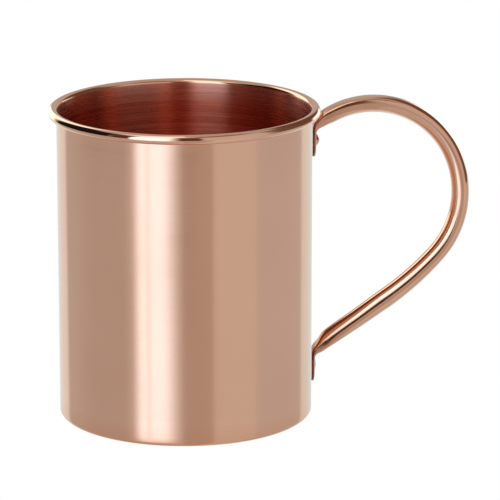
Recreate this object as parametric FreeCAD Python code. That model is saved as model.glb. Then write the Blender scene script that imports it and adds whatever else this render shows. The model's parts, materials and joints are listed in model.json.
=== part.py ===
import FreeCAD, Part
import math
import os

# Copper mug: a cup spun from one sheet, with its lip rolled outward, and a handle bent
# from round tube, whose two crimped ends are riveted to the wall.
# Millimetres. +Z is up, the axis of the cup is Z, the base stands on Z = 0, and the
# handle lies in the XZ plane on the +X side.

V = FreeCAD.Vector
X_AXIS = V(1, 0, 0)
Z_AXIS = V(0, 0, 1)

# Cup
BODY_RADIUS = 41.0
HEIGHT = 101.5
SHEET = 0.6
BASE_CORNER = 1.3
LIP_RADIUS = 1.55
LIP_STEP = 0.1
FLARE_HEIGHT = 2.6
LIP_END = -122.0

# Handle tube: the length of its skin, measured round the section, stays the same
# wherever the tube is squeezed. Where it is half squeezed, its nearer side is flatter than
# its far side, so the widest line of the section leans toward the nearer side.
TUBE_RADIUS = 3.2
TUBE_WALL = 0.5
SKIN = 2 * math.pi * TUBE_RADIUS
SECTION_POINTS = 24
SQUARENESS = 5.0
LEAN = 12.0
LEAN_MOST = 0.6
LEAN_END = 0.7
FLATNESS = 4.0
STATION_STEP = 6.0

# Handle run, from the upper crimp round to the lower one. Directions are degrees from +X,
# and each bend is its radius, its direction at the end and half the tube's height there.
RUN_START = (46.8, 98.45)
RUN_DIRECTION = 30.0
RUN_HALF = 2.5
BENDS = (
    (27.7, -66.3, 2.78),
    (31.3, -130.5, 2.92),
    (96.0, -143.7, 3.2),
)
STRAIGHT = 11.5
STRAIGHT_HALF = 3.0

# Crimped ends: each line is one station, as the point on the side nearer the cup and
# the point on the side away from it. The run ends in one such station of its own, where
# the underside has begun to close toward the lower crimp.
RUN_END = ((46.75, 28.0), (50.0, 23.5))
UPPER_CRIMP = (
    ((41.0, 94.6), (42.4, 93.6)),
    ((41.4, 96.3), (43.1, 94.4)),
    ((42.6, 97.9), (44.4, 94.9)),
    ((43.95, 99.5), (46.2, 95.6)),
)
LOWER_CRIMP = (
    ((44.3, 25.8), (46.5, 21.5)),
    ((43.0, 23.6), (44.6, 20.25)),
    ((41.6, 21.6), (43.1, 19.7)),
    ((41.0, 20.0), (42.3, 18.8)),
)
UPPER_TAB = 1.25
LOWER_TAB = 1.1
TAB_TIP = 5.5
TAB_FLAT = 2.2
TAB_SPARE = 3.0

# Rivets
UPPER_RIVET_Z = 90.4
LOWER_RIVET_Z = 15.3
SHANK_RADIUS = 1.5
INNER_HEAD = (2.9, 0.9)
UPPER_HEAD = (1.95, 1.0)
LOWER_HEAD = (2.1, 0.35)


def line(a, b):
    return Part.makeLine(V(a[0], 0, a[1]), V(b[0], 0, b[1]))


def arc(centre, radius, start, middle, end):
    """Arc in the XZ plane through three directions in degrees."""
    points = []
    for angle in (start, middle, end):
        turn = math.radians(angle)
        points.append(V(centre[0] + radius * math.cos(turn), 0,
                        centre[1] + radius * math.sin(turn)))
    return Part.Arc(*points).toShape()


def on_circle(centre, radius, angle):
    turn = math.radians(angle)
    return (centre[0] + radius * math.cos(turn), centre[1] + radius * math.sin(turn))


def revolved(edges, axis):
    wire = Part.Wire(Part.__sortEdges__(edges))
    return Part.Face(wire).revolve(V(0, 0, 0), axis, 360)


def shank(height, start, end):
    """A rivet's shank, along X."""
    return Part.makeCylinder(SHANK_RADIUS, end - start, V(start, 0, height), X_AXIS)


def cup():
    inner = BODY_RADIUS - SHEET
    lip = (inner + LIP_STEP + LIP_RADIUS, HEIGHT - LIP_RADIUS)
    flare = lip[1] - FLARE_HEIGHT
    core = LIP_RADIUS - SHEET
    corner = (BODY_RADIUS - BASE_CORNER, BASE_CORNER)
    bend = BASE_CORNER - SHEET
    edges = [
        line((0, 0), (corner[0], 0)),
        arc(corner, BASE_CORNER, -90, -45, 0),
        line((BODY_RADIUS, corner[1]), (BODY_RADIUS, flare)),
        line((BODY_RADIUS, flare), (BODY_RADIUS + LIP_STEP, lip[1])),
        arc(lip, core, 180, 40, LIP_END),
        line(on_circle(lip, core, LIP_END), on_circle(lip, LIP_RADIUS, LIP_END)),
        arc(lip, LIP_RADIUS, LIP_END, 40, 180),
        line((inner + LIP_STEP, lip[1]), (inner, flare)),
        line((inner, flare), (inner, corner[1])),
        arc(corner, bend, 0, -45, -90),
        line((corner[0], SHEET), (0, SHEET)),
        line((0, SHEET), (0, 0)),
    ]
    solid = revolved(edges, Z_AXIS)
    for height in (UPPER_RIVET_Z, LOWER_RIVET_Z):
        solid = solid.cut(shank(height, inner - 1, BODY_RADIUS + 1))
    return solid


def between(station):
    """Centre, direction of travel and half height of a station given by its two sides."""
    near, far = station
    centre = ((near[0] + far[0]) / 2, (near[1] + far[1]) / 2)
    across = (near[0] - far[0], near[1] - far[1])
    direction = math.degrees(math.atan2(-across[0], across[1]))
    return centre, direction, math.hypot(*across) / 2


def tab_stations(thickness, heights):
    """Stations of a flat tab that lies against the wall."""
    centre = BODY_RADIUS + thickness / 2
    return [((centre, height), 90.0, thickness / 2) for height in heights]


def run_stations():
    """Stations along the open bow of the handle."""
    x, z = RUN_START
    direction = RUN_DIRECTION
    half = RUN_HALF
    stations = [((x, z), direction, half)]
    for radius, end, end_half in BENDS:
        centre = on_circle((x, z), radius, direction - 90)
        count = max(2, round(radius * math.radians(direction - end) / STATION_STEP))
        for step in range(1, count + 1):
            share = step / count
            angle = direction + (end - direction) * share
            stations.append((on_circle(centre, radius, angle + 90), angle,
                             half + (end_half - half) * share))
        (x, z), direction, half = stations[-1]
    count = round(STRAIGHT / STATION_STEP)
    for step in range(1, count + 1):
        share = step / count
        stations.append((on_circle((x, z), STRAIGHT * share, direction), direction,
                         half + (STRAIGHT_HALF - half) * share))
    return stations + reversed_way([between(RUN_END)])


def crimp_stations(crimp):
    return [between(station) for station in crimp]


def reversed_way(stations):
    """The same stations seen by someone travelling down and in toward the cup."""
    return [(centre, direction - 180, half) for centre, direction, half in stations]


def section(station, skin_depth):
    """Closed curve round one station: an oval that squares up as it is squeezed flat."""
    centre, direction, half = station
    squeeze = 1 - half / TUBE_RADIUS
    lean = min(LEAN_MOST, LEAN * squeeze ** 2) * max(0, 1 - squeeze / LEAN_END)
    power = 2 + SQUARENESS * squeeze ** 2
    wide = half + (SKIN - 2 * math.pi * half) / 4 - skin_depth
    high = half - skin_depth
    turn = math.radians(direction)
    up = V(-math.sin(turn), 0, math.cos(turn))
    side = V(0, 1, 0)
    points = []
    for index in range(SECTION_POINTS):
        angle = 2 * math.pi * index / SECTION_POINTS
        away = math.copysign(1, math.sin(angle))
        side_power = power + FLATNESS * lean * (away > 0)
        a = math.copysign(abs(math.cos(angle)) ** (2 / side_power), math.cos(angle))
        b = lean + (away - lean) * abs(math.sin(angle)) ** (2 / side_power)
        points.append(V(centre[0], 0, centre[1]) + side * (wide * a) + up * (high * b))
    curve = Part.BSplineCurve()
    curve.interpolate(Points=points, PeriodicFlag=True)
    return Part.Wire(curve.toShape())


def lofted(stations, skin_depth, straight):
    """Solid through the stations, with straight or smooth lines from each to the next."""
    return Part.makeLoft([section(station, skin_depth) for station in stations], True, straight)


def below_tip(rivet_height, thickness):
    """What is trimmed off the end of a tab to round it."""
    wide = thickness / 2 + (SKIN - math.pi * thickness) / 4
    centre = rivet_height - TAB_TIP + wide
    block = Part.makeBox(6, 4 * wide, 3 * wide, V(BODY_RADIUS - 2, -2 * wide, centre - 3 * wide))
    end = Part.makeCylinder(wide, 8, V(BODY_RADIUS - 3, 0, centre), X_AXIS)
    return block.cut(end)


def handle():
    upper_end = UPPER_RIVET_Z - TAB_TIP - TAB_SPARE
    lower_end = LOWER_RIVET_Z - TAB_TIP - TAB_SPARE
    run = run_stations()
    upper = tab_stations(UPPER_TAB, (upper_end, UPPER_RIVET_Z + TAB_FLAT))
    upper += crimp_stations(UPPER_CRIMP)
    lower = reversed_way(crimp_stations(LOWER_CRIMP))
    lower += reversed_way(tab_stations(LOWER_TAB, (LOWER_RIVET_Z + TAB_FLAT, lower_end)))
    solid = lofted(run, 0, False)
    solid = solid.fuse(lofted(upper + run[:1], 0, True))
    solid = solid.fuse(lofted(run[-1:] + lower, 0, True))
    solid = solid.cut(lofted(run, TUBE_WALL, False))
    solid = solid.cut(below_tip(UPPER_RIVET_Z, UPPER_TAB))
    solid = solid.cut(below_tip(LOWER_RIVET_Z, LOWER_TAB))
    for height in (UPPER_RIVET_Z, LOWER_RIVET_Z):
        solid = solid.cut(shank(height, BODY_RADIUS - 1, BODY_RADIUS + 3))
    return solid


def dome(seat, radius, rise, height):
    """A low domed head on the plane X = seat, its crown rise away along X."""
    sphere_radius = (radius ** 2 + rise ** 2) / (2 * abs(rise))
    half_turn = math.asin(radius / sphere_radius) / 2
    away = math.copysign(1, rise)
    centre = rise - away * sphere_radius
    middle = (centre + away * sphere_radius * math.cos(half_turn), sphere_radius * math.sin(half_turn))
    edges = [
        line((0, 0), (0, radius)),
        Part.Arc(V(0, 0, radius), V(middle[0], 0, middle[1]), V(rise, 0, 0)).toShape(),
        line((rise, 0), (0, 0)),
    ]
    head = revolved(edges, X_AXIS)
    head.translate(V(seat, 0, height))
    return head


def rivet(height, tab, head):
    """One rivet: its factory head inside the cup, its formed head on the tab."""
    inner = BODY_RADIUS - SHEET
    radius, tall = INNER_HEAD
    sag = inner - math.sqrt(inner ** 2 - radius ** 2)
    seat = Part.makeCylinder(radius, sag, V(inner - sag, 0, height), X_AXIS)
    bowl = Part.makeCylinder(inner, 4 * radius, V(0, 0, height - 2 * radius))
    inside = dome(inner - sag, radius, -tall, height).fuse(seat.common(bowl))
    outside = dome(BODY_RADIUS + tab, head[0], head[1], height)
    body = shank(height, inner - sag, BODY_RADIUS + tab)
    return inside.fuse(body).fuse(outside).removeSplitter()


def main():
    os.makedirs("parts", exist_ok=True)
    nodes = {
        "cup": cup(),
        "handle": handle(),
        "rivet_upper": rivet(UPPER_RIVET_Z, UPPER_TAB, UPPER_HEAD),
        "rivet_lower": rivet(LOWER_RIVET_Z, LOWER_TAB, LOWER_HEAD),
    }
    for name, shape in nodes.items():
        solids = shape.Solids
        box = shape.BoundBox
        print(name, "solids", len(solids), "valid", shape.isValid(), "mm3", round(shape.Volume, 1),
              "x", round(box.XMin, 2), round(box.XMax, 2), "z", round(box.ZMin, 2), round(box.ZMax, 2))
        solids[0].exportStep("parts/" + name + ".step")


main()
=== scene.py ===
import json
import math

import bpy
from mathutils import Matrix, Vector

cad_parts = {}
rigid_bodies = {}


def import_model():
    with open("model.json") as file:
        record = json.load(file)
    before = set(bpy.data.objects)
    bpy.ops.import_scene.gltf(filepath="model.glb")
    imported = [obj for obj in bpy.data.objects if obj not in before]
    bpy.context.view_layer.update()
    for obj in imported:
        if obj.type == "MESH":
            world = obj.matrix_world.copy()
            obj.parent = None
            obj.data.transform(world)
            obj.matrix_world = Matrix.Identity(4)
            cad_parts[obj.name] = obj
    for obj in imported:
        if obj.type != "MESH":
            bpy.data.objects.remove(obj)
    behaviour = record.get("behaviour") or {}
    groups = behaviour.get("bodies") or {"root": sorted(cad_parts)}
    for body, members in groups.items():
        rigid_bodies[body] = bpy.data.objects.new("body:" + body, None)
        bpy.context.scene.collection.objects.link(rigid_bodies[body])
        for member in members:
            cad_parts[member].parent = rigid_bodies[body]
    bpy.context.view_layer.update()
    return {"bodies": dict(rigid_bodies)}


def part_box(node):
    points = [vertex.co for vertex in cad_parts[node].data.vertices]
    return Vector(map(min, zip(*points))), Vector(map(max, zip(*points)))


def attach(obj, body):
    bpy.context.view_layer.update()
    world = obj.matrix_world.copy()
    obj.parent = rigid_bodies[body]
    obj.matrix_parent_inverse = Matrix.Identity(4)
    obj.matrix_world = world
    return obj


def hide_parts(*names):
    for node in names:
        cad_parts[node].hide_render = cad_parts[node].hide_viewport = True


# The copper mug's looks: a lathe mesh for the spun cup, a swept mesh for the handle, two
# hammered rivets, their copper finishes, and the studio round them.
# Lengths are in millimetres and are scaled to metres when a mesh is made. The frame is the
# CAD's: +Z up, the cup's axis is Z, and the handle lies in the XZ plane on the +X side.
# The studio's azimuths are degrees from -Y, the camera's side, turning toward +X.

MM = 0.001

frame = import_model()
cup_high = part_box("cup")[1] / MM
upper_low, upper_high = (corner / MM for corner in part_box("rivet_upper"))
lower_low, lower_high = (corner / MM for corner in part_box("rivet_lower"))

# Cup
HEIGHT = cup_high.z
LIP_RADIUS = 1.55
LIP_STEP = 0.1
FLARE_HEIGHT = 2.6
LIP_END = -122.0
SHEET = 0.6
BASE_CORNER = 1.3
BODY_RADIUS = cup_high.x - 2 * LIP_RADIUS - LIP_STEP + SHEET
CUP_SEGMENTS = 288
WALL_RINGS = 48
BASE_RINGS = 24
CORNER_STEPS = 8
CURL_STEPS = 24
LIP_STEPS = 36

# Handle: the route, the crimps and the tabs of the CAD part
TUBE_RADIUS = 3.2
SKIN = 2 * math.pi * TUBE_RADIUS
SQUARENESS = 5.0
LEAN = 12.0
LEAN_MOST = 0.6
LEAN_END = 0.7
FLATNESS = 4.0
RUN_START = (46.8, 98.45)
RUN_DIRECTION = 30.0
RUN_HALF = 2.5
BENDS = (
    (27.7, -66.3, 2.78),
    (31.3, -130.5, 2.92),
    (96.0, -143.7, 3.2),
)
STRAIGHT = 11.5
STRAIGHT_HALF = 3.0
UPPER_CRIMP = (
    ((41.0, 94.6), (42.4, 93.6)),
    ((41.4, 96.3), (43.1, 94.4)),
    ((42.6, 97.9), (44.4, 94.9)),
    ((43.95, 99.5), (46.2, 95.6)),
)
RUN_END = ((46.75, 28.0), (50.0, 23.5))
LOWER_CRIMP = (
    ((44.3, 25.8), (46.5, 21.5)),
    ((43.0, 23.6), (44.6, 20.25)),
    ((41.6, 21.6), (43.1, 19.7)),
    ((41.0, 20.0), (42.3, 18.8)),
)
UPPER_TAB = 1.25
LOWER_TAB = 1.1
TAB_TIP = 5.5
TAB_FLAT = 2.2
HANDLE_POINTS = 48
STATION_STEP = 1.2
EASED_STEPS = 5
TIP_STEPS = 8
TIP_THINNED = 0.5

# Rivets
UPPER_RIVET_Z = (upper_low.z + upper_high.z) / 2
LOWER_RIVET_Z = (lower_low.z + lower_high.z) / 2
SHANK_RADIUS = 1.5
INNER_HEAD = (2.9, 0.9)
UPPER_HEAD = (1.95, 1.0)
LOWER_HEAD = (2.1, 0.35)
NECK = 0.1
DOME_STEPS = 10
RIVET_SEGMENTS = 48

# A fold sharper than this many degrees shows as an edge
SHARP_ANGLE = 60

# Coppers, as red, green and blue. A pair is the two shades that a finish drifts between.
OUTSIDE_COPPER = ((0.905, 0.535, 0.375), (0.885, 0.520, 0.362))
# The foot's copper is a painted reflection of the table, darker and redder than the wall's
FOOT_REFLECTION_COPPER = (0.86, 0.44, 0.27)
# The inside's coppers are painted reflection of light gone from wall to wall, redder than the
# outside's; the lower pair is the redder
DEEP_REFLECTION_COPPER = ((0.71, 0.18, 0.10), (0.73, 0.20, 0.12))
RIM_REFLECTION_COPPER = ((0.86, 0.36, 0.25), (0.89, 0.41, 0.29))
TUBE_COPPER = ((0.90, 0.52, 0.36), (0.87, 0.49, 0.33))
# Painted shade on the tube where it is pressed flat near the wall
PRESSED_SHADE_COPPER = (0.72, 0.36, 0.22)
# Painted shade in the seam where the tab meets the wall
SEAM_SHADE_COPPER = (0.20, 0.06, 0.035)
RIVET_COPPER = ((0.86, 0.46, 0.31), (0.72, 0.35, 0.23))

# Where the finishes change: heights of the foot's painted reflection, of the end of the inside's
# redder painted reflection and of the lip's smoother polish, and distances from the cup's axis of
# the pressed tube's painted shade and patchier polish and of the seam's painted shade
FOOT_REFLECTION_HEIGHTS = (0.5, 7.0)
RIM_REFLECTION_HEIGHTS = (HEIGHT - 8, HEIGHT - 2.5)
LIP_HEIGHTS = (HEIGHT - 3.4, HEIGHT - 2.8)
PRESSED_OUT_TO = (44.0, 54.0)
SEAM_SHADE_OUT_TO = (BODY_RADIUS + 0.45, BODY_RADIUS + 1.1)

# Camera
CAMERA_AIM = Vector((21.0, 0.0, 53.7))
CAMERA_DISTANCE = 1134.7
CAMERA_ELEVATION = 14.863
CAMERA_LENS = 252.6
CAMERA_CLIP_END = 20.0

# Studio: each light's azimuths and elevations in degrees, as where it starts, is full,
# stops being full and ends, then its red, green and blue light. Later ones lie on earlier.
# The table's light comes from far off. The tent of cards stands round the cup.
ALL_ROUND = (-200, -190, 190, 200)
ALL_DOWN = (-96, -95, 95, 96)
TABLE_PLAIN = (0.55, 0.55, 0.55)
TABLE_LIGHTS = (
    ("left", (-200, -190, -54, -52), ALL_DOWN, (0.485, 0.485, 0.485)),
    ("left_far", (-200, -190, -120, -85), ALL_DOWN, (0.52, 0.545, 0.55)),
    ("behind_left", (-200, -190, -136, -131), ALL_DOWN, (0.82, 0.91, 0.94)),
    ("key_low", (-49.5, -36.5, -21, 0), (-27, -19, 95, 96), (1.35, 1.68, 2.08)),
    ("key_gap", (-36.5, -33, -32, -28), (-27, -19, 95, 96), (1.15, 1.38, 1.62)),
    ("front", (-2, 1, 25.5, 27.5), ALL_DOWN, (0.487, 0.453, 0.427)),
    ("right_card", (25.5, 28.5, 68.5, 71), ALL_DOWN, (0.63, 0.645, 0.64)),
    ("right", (68.5, 71, 190, 200), ALL_DOWN, (0.557, 0.58, 0.605)),
    ("behind_right", (129, 135, 190, 200), ALL_DOWN, (0.76, 0.88, 0.89)),
    ("front_gap", (-19, -15, 8, 14), (-12.5, -9, 95, 96), (0.04, 0.02, 0.015)),
)
TENT_RADIUS = 280.0
TENT_CENTRE = Vector((0, 0, 50.0))
TENT_LOW = 0.0
TENT_HIGH = 89.0
TENT_RINGS = 45
TENT_SEGMENTS = 180
TENT_PLAIN = (0.5, 0.48, 0.45)
TENT_LIGHTS = (
    ("behind_left", (-162, -156, -134, -126), (-20, -19, 50, 58), (1.6, 1.7, 1.7)),
    ("behind_right", (124, 134, 152, 158), (-20, -19, 15, 23), (1.6, 1.7, 1.7)),
    ("left_dark", (-128, -120, -62, -56), (-20, -19, 52, 60), (0.01, 0.01, 0.01)),
    ("left_brown", (-62, -56, -44, -40), (-20, -19, 48, 56), (0.09, 0.045, 0.03)),
    ("over_front", (-90, -70, -5, 10), (56, 64, 95, 96), (1.1, 1.15, 1.2)),
    ("over_right", (12, 20, 72, 90), (54, 60, 70, 78), (0.25, 0.15, 0.11)),
    ("right_card", (4, 6, 66, 76), (-20, -19, 46, 54), (0.6, 0.6, 0.6)),
    ("right_dark", (66, 84, 124, 132), (-20, -19, 46, 54), (0.16, 0.11, 0.08)),
    ("over_behind", (96, 112, 150, 164), (14, 22, 52, 60), (0.14, 0.08, 0.055)),
    ("front_dark", (-6, -1, 12, 18), (-20, -19, 50, 58), (0.12, 0.05, 0.03)),
    ("key", (-44, -40, -14, -4), (-20, -19, 50, 75), (1.5, 1.9, 2.3)),
)
FLOOR_HALF = 3000.0


# Meshes

def mesh_object(name, points, faces, materials=()):
    mesh = bpy.data.meshes.new(name)
    mesh.from_pydata([Vector(point) * MM for point in points], [], faces)
    for material in materials:
        mesh.materials.append(material)
    mesh.shade_smooth()
    mesh.set_sharp_from_angle(angle=math.radians(SHARP_ANGLE))
    mesh.validate()
    made = bpy.data.objects.new(name, mesh)
    bpy.context.scene.collection.objects.link(made)
    return made


def on_circle(centre, radius, angle):
    turn = math.radians(angle)
    return (centre[0] + radius * math.cos(turn), centre[1] + radius * math.sin(turn))


def arc(centre, radius, start, end, steps):
    """Points of an arc from one direction to another, in degrees, both ends included."""
    angles = [start + (end - start) * step / steps for step in range(steps + 1)]
    return [on_circle(centre, radius, angle) for angle in angles]


def straight(a, b, steps):
    """Points between a and b, neither included."""
    shares = [step / steps for step in range(1, steps)]
    return [(a[0] + (b[0] - a[0]) * share, a[1] + (b[1] - a[1]) * share) for share in shares]


def ring_faces(first, second, count):
    """Quads between two rings of vertices, given by their first indices."""
    nexts = [(i + 1) % count for i in range(count)]
    return [(first + i, first + after, second + after, second + i) for i, after in enumerate(nexts)]


def turns(count):
    """The angles, in radians, of points spaced evenly round a circle."""
    return [2 * math.pi * index / count for index in range(count)]


def travelled(line):
    """The distance along a line of points at each of its points."""
    made = [0.0]
    for before, after in zip(line, line[1:]):
        made.append(made[-1] + math.dist(before, after))
    return made


def set_grain(made, grain):
    """Stores, at each vertex, the distance along the piece and the cosine and sine of the
    turn round it, for the finishes to lay their polishing lines by."""
    attribute = made.data.attributes.new("grain", "FLOAT_VECTOR", "POINT")
    attribute.data.foreach_set("vector", [value for vector in grain for value in vector])


# Cup

def cup_profile():
    """Radius and height along the sheet, from the middle of the underside round to the
    middle of the floor inside, and the index of the point where the inside starts."""
    inner = BODY_RADIUS - SHEET
    lip = (inner + LIP_STEP + LIP_RADIUS, HEIGHT - LIP_RADIUS)
    flare = lip[1] - FLARE_HEIGHT
    core = LIP_RADIUS - SHEET
    corner = (BODY_RADIUS - BASE_CORNER, BASE_CORNER)
    bend = BASE_CORNER - SHEET
    points = straight((0, 0), (corner[0], 0), BASE_RINGS)
    points += arc(corner, BASE_CORNER, -90, 0, CORNER_STEPS)
    points += straight((BODY_RADIUS, corner[1]), (BODY_RADIUS, flare), WALL_RINGS)
    points += [(BODY_RADIUS, flare), (BODY_RADIUS + LIP_STEP / 2, (flare + lip[1]) / 2)]
    points += arc(lip, core, 180, LIP_END, CURL_STEPS)
    points += arc(lip, LIP_RADIUS, LIP_END, 180, LIP_STEPS)
    # The brushed inside starts three points before the lip's round ends
    inside = len(points) - 3
    points += [(inner + LIP_STEP / 2, (flare + lip[1]) / 2), (inner, flare)]
    points += straight((inner, flare), (inner, corner[1]), WALL_RINGS)
    points += arc(corner, bend, 0, -90, CORNER_STEPS)
    points += straight((corner[0], SHEET), (0, SHEET), BASE_RINGS)
    return points, inside


def cup_mesh(outside_finish, inside_finish):
    profile, inside = cup_profile()
    circle = [(math.cos(turn), math.sin(turn)) for turn in turns(CUP_SEGMENTS)]
    points = []
    for radius, height in profile:
        points += [(radius * x, radius * y, height) for x, y in circle]
    faces = []
    for ring in range(len(profile) - 1):
        faces += ring_faces(ring * CUP_SEGMENTS, (ring + 1) * CUP_SEGMENTS, CUP_SEGMENTS)
    last = (len(profile) - 1) * CUP_SEGMENTS
    under = len(points)
    points += [(0, 0, 0), (0, 0, SHEET)]
    faces += [((i + 1) % CUP_SEGMENTS, i, under) for i in range(CUP_SEGMENTS)]
    faces += [(last + i, last + (i + 1) % CUP_SEGMENTS, under + 1) for i in range(CUP_SEGMENTS)]
    made = mesh_object("cup_spun", points, faces, (outside_finish, inside_finish))
    first_inside = inside * CUP_SEGMENTS
    for polygon in made.data.polygons:
        if min(polygon.vertices) >= first_inside and max(polygon.vertices) != under:
            polygon.material_index = 1
    grain = [(distance, *place) for distance in travelled(profile) for place in circle]
    set_grain(made, grain + [(0, 0, 0), (travelled(profile)[-1], 0, 0)])
    return made


# Handle

def between(near, far):
    """Centre, direction of travel and half height of a station given by its two sides."""
    centre = ((near[0] + far[0]) / 2, (near[1] + far[1]) / 2)
    across = (near[0] - far[0], near[1] - far[1])
    direction = math.degrees(math.atan2(-across[0], across[1]))
    return centre, direction, math.hypot(*across) / 2


def skin_width(half):
    """Half the width of the tube where it is squeezed to this half height."""
    return half + (SKIN - 2 * math.pi * half) / 4


def run_stations():
    """Stations along the open bow: centre, direction of travel and half height."""
    x, z = RUN_START
    direction = RUN_DIRECTION
    half = RUN_HALF
    stations = [((x, z), direction, half)]
    for radius, end, end_half in BENDS:
        centre = on_circle((x, z), radius, direction - 90)
        count = round(radius * math.radians(direction - end) / STATION_STEP)
        for step in range(1, count + 1):
            share = step / count
            angle = direction + (end - direction) * share
            stations.append((on_circle(centre, radius, angle + 90), angle,
                             half + (end_half - half) * share))
        (x, z), direction, half = stations[-1]
    count = round(STRAIGHT / STATION_STEP)
    for step in range(1, count + 1):
        share = step / count
        stations.append((on_circle((x, z), STRAIGHT * share, direction), direction,
                         half + (STRAIGHT_HALF - half) * share))
    return stations


def sides(station):
    """The points of a station on its near and far sides, nearer the cup first."""
    centre, direction, half = station
    return on_circle(centre, half, direction + 90), on_circle(centre, half, direction - 90)


def eased(points, steps):
    """A smooth line through points, by a Catmull-Rom curve, without its two end points."""
    made = []
    for a, b, c, d in zip(points, points[1:], points[2:], points[3:]):
        for step in range(steps):
            t = step / steps
            made.append(tuple(
                0.5 * (2 * q + (r - p) * t + (2 * p - 5 * q + 4 * r - s) * t ** 2
                       + (3 * q - p - 3 * r + s) * t ** 3)
                for p, q, r, s in zip(a, b, c, d)))
    return made


def tip_stations(thickness, rivet_height):
    """Stations of the rounded end of a tab, from its tip to its full width."""
    wide = skin_width(thickness / 2)
    middle = rivet_height - TAB_TIP + wide
    stations = []
    for step in range(1, TIP_STEPS + 1):
        turn = math.pi / 2 * step / TIP_STEPS
        half = thickness / 2 * (TIP_THINNED + (1 - TIP_THINNED) * math.sin(turn))
        stations.append(((BODY_RADIUS + half, middle - wide * math.cos(turn)), 90.0, half,
                         wide * math.sin(turn)))
    return stations


def end_stations(thickness, rivet_height, crimp, run):
    """Stations from a tab's tip, up its flat and through its crimp to the open run."""
    tip = tip_stations(thickness, rivet_height)
    flat = rivet_height + TAB_FLAT
    near = [(BODY_RADIUS, tip[-1][0][1]), (BODY_RADIUS, flat)]
    far = [(BODY_RADIUS + thickness, tip[-1][0][1]), (BODY_RADIUS + thickness, flat)]
    near += [station[0] for station in crimp] + [sides(station)[0] for station in run]
    far += [station[1] for station in crimp] + [sides(station)[1] for station in run]
    near.insert(0, (near[0][0], near[0][1] - 1))
    far.insert(0, (far[0][0], far[0][1] - 1))
    lines = zip(eased(near, EASED_STEPS), eased(far, EASED_STEPS))
    stations = [between(a, b) for a, b in lines]
    return tip + [(*station, skin_width(station[2])) for station in stations[1:]]


def mirrored(stations):
    """The same stations travelled the other way."""
    return [(centre, direction - 180, half, wide)
            for centre, direction, half, wide in reversed(stations)]


def station_ring(station):
    """Points round one station. The tube is round where it is open. Where it is half
    squeezed, the bow's outer side is flatter and the widest line lies toward it. The whole
    section squares up as it is squeezed flat."""
    centre, direction, half, wide = station
    squeeze = 1 - half / TUBE_RADIUS
    lean = min(LEAN_MOST, LEAN * squeeze ** 2) * max(0, 1 - squeeze / LEAN_END)
    power = 2 + SQUARENESS * squeeze ** 2
    turn = math.radians(direction)
    up = Vector((-math.sin(turn), 0, math.cos(turn)))
    side = Vector((0, 1, 0))
    points = []
    for angle in turns(HANDLE_POINTS):
        away = math.copysign(1, math.sin(angle))
        side_power = power + FLATNESS * lean * (away > 0)
        a = math.copysign(abs(math.cos(angle)) ** (2 / side_power), math.cos(angle))
        b = lean + (away - lean) * abs(math.sin(angle)) ** (2 / side_power)
        points.append(Vector((centre[0], 0, centre[1])) + side * wide * a + up * half * b)
    return points


def handle_mesh(finish):
    run = [(*station, skin_width(station[2])) for station in run_stations()]
    upper = end_stations(UPPER_TAB, UPPER_RIVET_Z, UPPER_CRIMP, run_stations()[:2])
    lower_run = [(centre, direction - 180, half)
                 for centre, direction, half in reversed(run_stations()[-2:])]
    lower_crimp = [*reversed(LOWER_CRIMP), RUN_END]
    lower = end_stations(LOWER_TAB, LOWER_RIVET_Z, lower_crimp, lower_run)
    stations = upper + run + mirrored(lower)
    points = []
    faces = []
    for ring, station in enumerate(stations):
        points += station_ring(station)
        if ring:
            faces += ring_faces((ring - 1) * HANDLE_POINTS, ring * HANDLE_POINTS, HANDLE_POINTS)
    last = (len(stations) - 1) * HANDLE_POINTS
    faces.append(tuple(reversed(range(HANDLE_POINTS))))
    faces.append(tuple(range(last, last + HANDLE_POINTS)))
    made = mesh_object("handle_tube", points, faces, (finish,))
    set_grain(made, [(distance, math.cos(turn), math.sin(turn))
                     for distance in travelled([station[0] for station in stations])
                     for turn in turns(HANDLE_POINTS)])
    return made


# Rivets

def dome_profile(seat, radius, rise):
    """Radius and X of a low dome, from near its crown to its rim at X = seat."""
    sphere = (radius ** 2 + rise ** 2) / (2 * abs(rise))
    whole = math.asin(radius / sphere)
    away = math.copysign(1, rise)
    centre = seat + rise - away * sphere
    angles = [whole * step / DOME_STEPS for step in range(1, DOME_STEPS + 1)]
    return [(sphere * math.sin(angle), centre + away * sphere * math.cos(angle)) for angle in angles]


def rivet_profile(tab, head):
    """Radius and X of a rivet, from the crown inside the cup to the crown on the tab."""
    inner = BODY_RADIUS - SHEET
    radius, rise = INNER_HEAD
    points = dome_profile(inner, radius, -rise)
    points += [(radius, inner - NECK), (SHANK_RADIUS, inner + NECK)]
    seat = BODY_RADIUS + tab
    points += [(SHANK_RADIUS, seat - NECK)]
    points += list(reversed(dome_profile(seat, head[0], head[1])))
    return points


def rivet_mesh(name, height, tab, head, finish):
    profile = rivet_profile(tab, head)
    points = []
    for radius, x in profile:
        points += [(x, radius * math.cos(turn), height + radius * math.sin(turn))
                   for turn in turns(RIVET_SEGMENTS)]
    faces = []
    for ring in range(len(profile) - 1):
        faces += ring_faces(ring * RIVET_SEGMENTS, (ring + 1) * RIVET_SEGMENTS, RIVET_SEGMENTS)
    last = (len(profile) - 1) * RIVET_SEGMENTS
    faces.append(tuple(reversed(range(RIVET_SEGMENTS))))
    faces.append(tuple(range(last, last + RIVET_SEGMENTS)))
    return mesh_object(name, points, faces, (finish,))


# Finishes

def add(tree, kind, **values):
    """A new node; values set its input sockets by name, with _ for a space."""
    node = tree.nodes.new(kind)
    for name, value in values.items():
        node.inputs[name.replace("_", " ")].default_value = value
    return node


def join(tree, source, target):
    tree.links.new(source, target)


def new_finish(name):
    material = bpy.data.materials.new(name)
    material.use_nodes = True
    tree = material.node_tree
    shader = tree.nodes["Principled BSDF"]
    shader.inputs["Metallic"].default_value = 1.0
    return material, tree, shader


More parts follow.
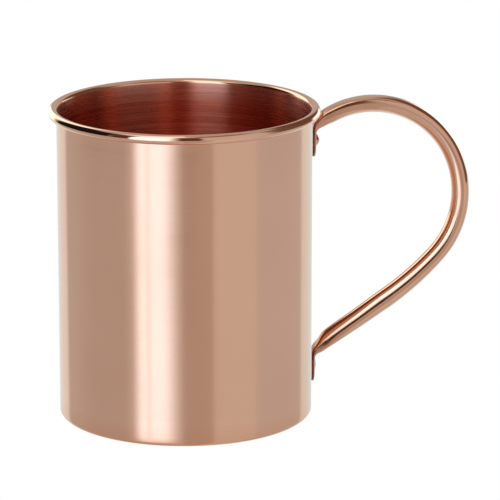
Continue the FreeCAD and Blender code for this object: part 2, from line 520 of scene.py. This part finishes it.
def math_node(tree, operation, a, b=None):
    node = tree.nodes.new("ShaderNodeMath")
    node.operation = operation
    for socket, value in zip(node.inputs, (a, b)):
        if isinstance(value, (int, float)):
            socket.default_value = value
        elif value is not None:
            join(tree, value, socket)
    return node.outputs[0]


def product(tree, a, b):
    return math_node(tree, "MULTIPLY", a, b)


def mapped(tree, value, low, high, to_low, to_high):
    """value's range from low to high carried to another, and held at its ends."""
    node = add(tree, "ShaderNodeMapRange", From_Min=low, From_Max=high, To_Min=to_low, To_Max=to_high)
    join(tree, value, node.inputs["Value"])
    return node.outputs["Result"]


def blended(tree, share, first, second):
    """A colour between two, each a colour or a socket."""
    node = tree.nodes.new("ShaderNodeMix")
    node.data_type = "RGBA"
    factor, a, b = node.inputs[0], node.inputs[6], node.inputs[7]
    join(tree, share, factor)
    for socket, colour in ((a, first), (b, second)):
        if isinstance(colour, tuple):
            socket.default_value = (*colour, 1)
        else:
            join(tree, colour, socket)
    return node.outputs[2]


def grain_noise(tree, along, around, detail=3.0):
    """Noise with this many features to a millimetre along the grain attribute's length,
    and this many round its circle."""
    grain = tree.nodes.new("ShaderNodeAttribute")
    grain.attribute_name = "grain"
    scaled = tree.nodes.new("ShaderNodeVectorMath")
    scaled.operation = "MULTIPLY"
    scaled.inputs[1].default_value = (along, around, around)
    join(tree, grain.outputs["Vector"], scaled.inputs[0])
    texture = add(tree, "ShaderNodeTexNoise", Scale=1.0, Detail=detail, Roughness=0.6)
    join(tree, scaled.outputs[0], texture.inputs["Vector"])
    return texture.outputs["Fac"]


def cloud_noise(tree, size, detail=2.0):
    """Noise in space, whose features are about size millimetres."""
    place_on_piece = tree.nodes.new("ShaderNodeTexCoord")
    texture = add(tree, "ShaderNodeTexNoise", Scale=1 / (size * MM), Detail=detail)
    join(tree, place_on_piece.outputs["Object"], texture.inputs["Vector"])
    return texture.outputs["Fac"]


def bumped(tree, height, depth, under=None):
    """A normal bent by a height, whose full range is depth millimetres."""
    node = add(tree, "ShaderNodeBump", Strength=1.0, Distance=depth * MM)
    join(tree, height, node.inputs["Height"])
    if under is not None:
        join(tree, under, node.inputs["Normal"])
    return node.outputs["Normal"]


def millimetres_along(tree, axis):
    """The place on the piece along X, Y or Z. Along Z, it is the height above the table."""
    place_on_piece = tree.nodes.new("ShaderNodeTexCoord")
    axes = tree.nodes.new("ShaderNodeSeparateXYZ")
    join(tree, place_on_piece.outputs["Object"], axes.inputs[0])
    return product(tree, axes.outputs[axis], 1 / MM)


def drifting(tree, size, shades):
    """A colour that drifts between two shades in patches of about size millimetres."""
    return blended(tree, mapped(tree, cloud_noise(tree, size), 0.35, 0.65, 0, 1), *shades)


def outside_copper():
    """Polished copper with faint turning lines, cloudy patches and a painted reflection of the table
    at the foot, which is darker and redder.
    """
    material, tree, shader = new_finish("cup_polished")
    height = millimetres_along(tree, "Z")
    # Painted reflection: toward the table the colour turns to the foot's darker, redder copper
    foot = mapped(tree, height, *FOOT_REFLECTION_HEIGHTS, 0.7, 0.0)
    colour = blended(tree, foot, drifting(tree, 28, OUTSIDE_COPPER), FOOT_REFLECTION_COPPER)
    join(tree, colour, shader.inputs["Base Color"])
    turning = grain_noise(tree, 2.2, 0.6)
    smear = cloud_noise(tree, 16, 3.0)
    roughness = math_node(tree, "ADD", mapped(tree, turning, 0.3, 0.7, 0.10, 0.15),
                          mapped(tree, smear, 0.4, 0.7, 0.0, 0.03))
    lip = mapped(tree, height, *LIP_HEIGHTS, 1.0, 0.5)
    join(tree, product(tree, roughness, lip), shader.inputs["Roughness"])
    wavy = bumped(tree, cloud_noise(tree, 14, 1.0), 0.01)
    join(tree, bumped(tree, turning, 0.0015, wavy), shader.inputs["Normal"])
    return material


def inside_copper():
    """Copper brushed on the lathe, so that its highlights stretch up the wall. Its colour is a
    painted reflection, redder than the outside's copper and redder still below the rim, where light
    has gone from wall to wall."""
    material, tree, shader = new_finish("cup_brushed")
    lines = grain_noise(tree, 1.3, 0.5, 4.0)
    fine = grain_noise(tree, 5.0, 1.5, 2.0)
    streaked = mapped(tree, lines, 0.35, 0.65, 0, 1)
    # Painted reflection: the colour is redder below the rim, where light has gone from wall to wall
    near_rim = mapped(tree, millimetres_along(tree, "Z"), *RIM_REFLECTION_HEIGHTS, 0, 1)
    deep = blended(tree, streaked, *DEEP_REFLECTION_COPPER)
    rim = blended(tree, streaked, *RIM_REFLECTION_COPPER)
    join(tree, blended(tree, near_rim, deep, rim), shader.inputs["Base Color"])
    join(tree, mapped(tree, lines, 0.3, 0.7, 0.24, 0.31), shader.inputs["Roughness"])
    join(tree, bumped(tree, fine, 0.004, bumped(tree, lines, 0.003)), shader.inputs["Normal"])
    shader.inputs["Anisotropic"].default_value = 0.95
    shader.inputs["Anisotropic Rotation"].default_value = 0.25
    tangent = tree.nodes.new("ShaderNodeTangent")
    tangent.direction_type = "RADIAL"
    tangent.axis = "Z"
    join(tree, tangent.outputs[0], shader.inputs["Tangent"])
    return material


def tube_copper():
    """Polished tube with scratches along it and a patchier polish where it is pressed flat. Its
    colour is painted shade there, darker near the wall, and near black in the seam against the wall."""
    material, tree, shader = new_finish("handle_polished")
    scratches = grain_noise(tree, 0.12, 9.0, 4.0)
    from_axis = millimetres_along(tree, "X")
    # Painted shade: the colour darkens where the tube is pressed flat near the wall
    pressed = mapped(tree, from_axis, *PRESSED_OUT_TO, 1, 0)
    # Painted shade: near black in the seam against the wall
    seam = mapped(tree, from_axis, *SEAM_SHADE_OUT_TO, 1, 0)
    colour = blended(tree, pressed, drifting(tree, 9, TUBE_COPPER), PRESSED_SHADE_COPPER)
    join(tree, blended(tree, seam, colour, SEAM_SHADE_COPPER), shader.inputs["Base Color"])
    polish = mapped(tree, scratches, 0.3, 0.7, 0.07, 0.13)
    stain = product(tree, pressed, mapped(tree, cloud_noise(tree, 2), 0.3, 0.7, 0.02, 0.12))
    join(tree, math_node(tree, "ADD", polish, stain), shader.inputs["Roughness"])
    wavy = bumped(tree, cloud_noise(tree, 7, 1.0), 0.006)
    join(tree, bumped(tree, scratches, 0.0015, wavy), shader.inputs["Normal"])
    return material


def rivet_copper():
    """Copper dented by the hammer that closed it."""
    material, tree, shader = new_finish("rivet_hammered")
    dents = add(tree, "ShaderNodeTexVoronoi", Scale=1 / (0.9 * MM))
    place_on_piece = tree.nodes.new("ShaderNodeTexCoord")
    join(tree, place_on_piece.outputs["Object"], dents.inputs["Vector"])
    join(tree, drifting(tree, 1.5, RIVET_COPPER), shader.inputs["Base Color"])
    join(tree, mapped(tree, cloud_noise(tree, 0.8), 0.3, 0.7, 0.16, 0.32), shader.inputs["Roughness"])
    join(tree, bumped(tree, dents.outputs["Distance"], 0.12), shader.inputs["Normal"])
    return material


# Studio

def step_mask(tree, value, edges):
    """1 between the two inner edges and 0 beyond the two outer ones."""
    made = None
    for low, high in ((edges[0], edges[1]), (edges[3], edges[2])):
        node = add(tree, "ShaderNodeMapRange", From_Min=low, From_Max=high)
        node.interpolation_type = "SMOOTHSTEP"
        join(tree, value, node.inputs["Value"])
        made = node.outputs["Result"] if made is None else product(tree, made, node.outputs["Result"])
    return made


def light_by_direction(tree, direction, plain, lights):
    """The light of a table of lights, for a vector pointing at them."""
    axes = tree.nodes.new("ShaderNodeSeparateXYZ")
    unit = tree.nodes.new("ShaderNodeVectorMath")
    unit.operation = "NORMALIZE"
    join(tree, direction, unit.inputs[0])
    join(tree, unit.outputs[0], axes.inputs[0])
    forward = product(tree, axes.outputs["Y"], -1)
    turn = math_node(tree, "ARCTAN2", axes.outputs["X"], forward)
    azimuth = math_node(tree, "DEGREES", turn)
    elevation = math_node(tree, "DEGREES", math_node(tree, "ARCSINE", axes.outputs["Z"]))
    light = tree.nodes.new("ShaderNodeRGB").outputs[0]
    light.default_value = (*plain, 1)
    for name, azimuths, elevations, colour in lights:
        mask = product(tree, step_mask(tree, azimuth, azimuths),
                       step_mask(tree, elevation, elevations))
        mix = tree.nodes.new("ShaderNodeMix")
        mix.label = name
        mix.data_type = "RGBA"
        factor, under, over = mix.inputs[0], mix.inputs[6], mix.inputs[7]
        over.default_value = (*colour, 1)
        join(tree, mask, factor)
        join(tree, light, under)
        light = mix.outputs[2]
    return light


def table_light():
    """The light that comes up from a wide table, by direction, and plain white for the camera."""
    world = bpy.data.worlds.new("table_light")
    bpy.context.scene.world = world
    world.use_nodes = True
    tree = world.node_tree
    tree.nodes.clear()
    direction = tree.nodes.new("ShaderNodeTexCoord")
    reflected = tree.nodes.new("ShaderNodeBackground")
    light = light_by_direction(tree, direction.outputs["Generated"], TABLE_PLAIN, TABLE_LIGHTS)
    join(tree, light, reflected.inputs["Color"])
    seen = add(tree, "ShaderNodeBackground", Color=(1, 1, 1, 1), Strength=1.0)
    path = tree.nodes.new("ShaderNodeLightPath")
    choice = tree.nodes.new("ShaderNodeMixShader")
    join(tree, path.outputs["Is Camera Ray"], choice.inputs[0])
    join(tree, reflected.outputs[0], choice.inputs[1])
    join(tree, seen.outputs[0], choice.inputs[2])
    output = tree.nodes.new("ShaderNodeOutputWorld")
    join(tree, choice.outputs[0], output.inputs["Surface"])


def emission(name):
    """A material that only glows, and the socket that takes its colour."""
    material = bpy.data.materials.new(name)
    material.use_nodes = True
    material.cycles.emission_sampling = "NONE"
    tree = material.node_tree
    tree.nodes.clear()
    glow = add(tree, "ShaderNodeEmission", Color=(1, 1, 1, 1), Strength=1.0)
    output = tree.nodes.new("ShaderNodeOutputMaterial")
    join(tree, glow.outputs[0], output.inputs["Surface"])
    return material, tree, glow.inputs["Color"]


def tent():
    """A dome of softboxes and black cards round the cup, seen only in reflections."""
    points = []
    faces = []
    for ring in range(TENT_RINGS):
        level = TENT_LOW + (TENT_HIGH - TENT_LOW) * ring / (TENT_RINGS - 1)
        radius, height = on_circle((0, 0), TENT_RADIUS, level)
        points += [(radius * math.cos(turn), radius * math.sin(turn), height)
                   for turn in turns(TENT_SEGMENTS)]
        if ring:
            faces += ring_faces((ring - 1) * TENT_SEGMENTS, ring * TENT_SEGMENTS, TENT_SEGMENTS)
    faces.append(tuple(range(len(points) - TENT_SEGMENTS, len(points))))
    material, tree, colour = emission("tent_cards")
    place_in_tent = tree.nodes.new("ShaderNodeTexCoord")
    light = light_by_direction(tree, place_in_tent.outputs["Object"], TENT_PLAIN, TENT_LIGHTS)
    join(tree, light, colour)
    made = mesh_object("tent", points, faces, (material,))
    made.location = TENT_CENTRE * MM
    made.visible_camera = False
    made.visible_shadow = False


def floor():
    """A plain white floor. Reflections see the table's light in its place."""
    signs = ((-1, -1), (1, -1), (1, 1), (-1, 1))
    corners = [(x * FLOOR_HALF, y * FLOOR_HALF, 0) for x, y in signs]
    made = mesh_object("floor", corners, [(0, 1, 2, 3)], (emission("floor_white")[0],))
    made.visible_glossy = False
    made.visible_diffuse = False


def camera():
    data = bpy.data.cameras.new("camera")
    data.lens = CAMERA_LENS
    data.clip_end = CAMERA_CLIP_END
    made = bpy.data.objects.new("camera", data)
    bpy.context.scene.collection.objects.link(made)
    tilt = math.radians(CAMERA_ELEVATION)
    away = Vector((0, -math.cos(tilt), math.sin(tilt)))
    made.location = (CAMERA_AIM + away * CAMERA_DISTANCE) * MM
    made.rotation_euler = (math.radians(90) - tilt, 0, 0)
    bpy.context.scene.camera = made


def place(piece, node, slot):
    """The piece stands for a CAD node, whose part it hides, and joins the root body. The slot is not
    used.
    """
    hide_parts(node)
    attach(piece, "root")


place(cup_mesh(outside_copper(), inside_copper()), "cup", "cup_copper")
place(handle_mesh(tube_copper()), "handle", "handle_copper")
hammered = rivet_copper()
place(rivet_mesh("rivet_upper_head", UPPER_RIVET_Z, UPPER_TAB, UPPER_HEAD, hammered),
      "rivet_upper", "rivet_copper")
place(rivet_mesh("rivet_lower_head", LOWER_RIVET_Z, LOWER_TAB, LOWER_HEAD, hammered),
      "rivet_lower", "rivet_copper")
# The cup's polished wall doesn't mirror the handle and the rivets
for piece in frame["bodies"]["root"].children:
    piece.visible_glossy = piece.name.startswith("cup")
table_light()
tent()
floor()
camera()
bpy.context.scene.view_settings.view_transform = "Standard"
